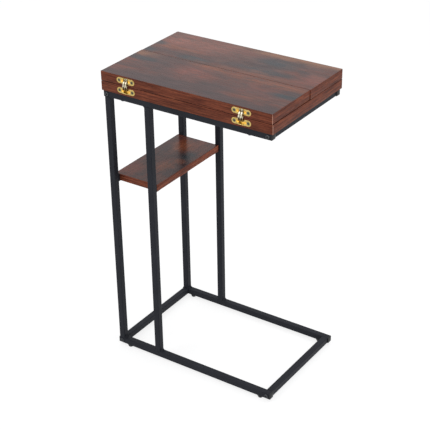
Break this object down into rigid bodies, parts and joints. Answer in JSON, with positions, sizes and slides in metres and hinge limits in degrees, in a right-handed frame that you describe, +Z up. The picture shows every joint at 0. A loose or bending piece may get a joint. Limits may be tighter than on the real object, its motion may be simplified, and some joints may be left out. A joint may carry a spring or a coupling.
{
  "type": "c-shaped side table",
  "caption": "C-shaped side table on a square tube frame with a small shelf and a tabletop whose two leaves fold outwards on concealed hinges to double its depth.",
  "frame": {"origin": "on the floor, below the middle of the tabletop's outline", "axes": "+X along the tabletop towards its free end, +Y across it towards the back edge, +Z up"},
  "size_m": [0.4, 0.2698, 0.652],
  "materials": {
    "laminate": "satin melamine with rustic wood print",
    "edge_band": "satin red-brown edge banding",
    "frame_black": "matt black powder coat",
    "black_plastic": "moulded black plastic",
    "black_fastener": "black oxide",
    "hinge_brass": "plated brass",
    "link_steel": "bright steel",
    "zinc_steel": "zinc plated"
  },
  "bodies": {
    "frame": {"base_board": "laminate", "base_edge_bands": "edge_band", "shelf_board": "laminate", "shelf_edge_bands": "edge_band", "front_base_rail": "frame_black", "back_base_rail": "frame_black", "left_base_crossbar": "frame_black", "right_base_crossbar": "frame_black", "front_top_rail": "frame_black", "back_top_rail": "frame_black", "left_top_crossbar": "frame_black", "right_top_crossbar": "frame_black", "front_left_upright": "frame_black", "front_inner_upright": "frame_black", "back_left_upright": "frame_black", "back_inner_upright": "frame_black", "base_welds": "frame_black", "top_welds": "frame_black", "base_rail_end_caps": "black_plastic", "top_rail_end_caps": "black_plastic", "glide_feet": "black_plastic", "frame_bolts": "black_fastener", "crossbar_nut_plugs": "zinc_steel", "tabletop_screws": "black_fastener", "shelf_brackets": "frame_black", "shelf_screws": "black_fastener", "front_board_hinge_cups": "hinge_brass", "front_board_hinge_screws": "hinge_brass", "front_board_hinge_pins": "zinc_steel", "back_board_hinge_cups": "hinge_brass", "back_board_hinge_screws": "hinge_brass", "back_board_hinge_pins": "zinc_steel"},
    "front_leaf": {"front_leaf_board": "laminate", "front_leaf_edge_bands": "edge_band", "front_leaf_hinge_cups": "hinge_brass", "front_leaf_hinge_screws": "hinge_brass", "front_leaf_hinge_pins": "zinc_steel"},
    "front_lower_links": {"front_lower_link_plates": "link_steel", "front_link_rivets": "zinc_steel"},
    "front_upper_links": {"front_upper_link_plates": "link_steel"},
    "back_leaf": {"back_leaf_board": "laminate", "back_leaf_edge_bands": "edge_band", "back_leaf_hinge_cups": "hinge_brass", "back_leaf_hinge_screws": "hinge_brass", "back_leaf_hinge_pins": "zinc_steel"},
    "back_lower_links": {"back_lower_link_plates": "link_steel", "back_link_rivets": "zinc_steel"},
    "back_upper_links": {"back_upper_link_plates": "link_steel"}
  },
  "joints": [
    {"name": "front_leaf_fold", "type": "hinge", "parent": "frame", "child": "front_leaf", "pos_m": [0, -0.13025, 0.6315], "axis": [1, 0, 0], "range_deg": [0, 180]},
    {"name": "front_lower_link_turn", "type": "hinge", "parent": "frame", "child": "front_lower_links", "pos_m": [0, -0.1285, 0.6247], "axis": [1, 0, 0], "range_deg": [0, 138.4]},
    {"name": "front_upper_link_turn", "type": "hinge", "parent": "front_leaf", "child": "front_upper_links", "pos_m": [0, -0.1285, 0.6383], "axis": [-1, 0, 0], "range_deg": [0, 138.4]},
    {"name": "back_leaf_fold", "type": "hinge", "parent": "frame", "child": "back_leaf", "pos_m": [0, 0.13025, 0.6315], "axis": [-1, 0, 0], "range_deg": [0, 180]},
    {"name": "back_lower_link_turn", "type": "hinge", "parent": "frame", "child": "back_lower_links", "pos_m": [0, 0.1285, 0.6247], "axis": [-1, 0, 0], "range_deg": [0, 138.4]},
    {"name": "back_upper_link_turn", "type": "hinge", "parent": "back_leaf", "child": "back_upper_links", "pos_m": [0, 0.1285, 0.6383], "axis": [1, 0, 0], "range_deg": [0, 138.4]}
  ],
  "couplings": [
    {"joint": "front_lower_link_turn", "follows": "front_leaf_fold", "ratio": 0.7688},
    {"joint": "front_upper_link_turn", "follows": "front_leaf_fold", "ratio": 0.7688},
    {"joint": "back_lower_link_turn", "follows": "back_leaf_fold", "ratio": 0.7688},
    {"joint": "back_upper_link_turn", "follows": "back_leaf_fold", "ratio": 0.7688}
  ]
}
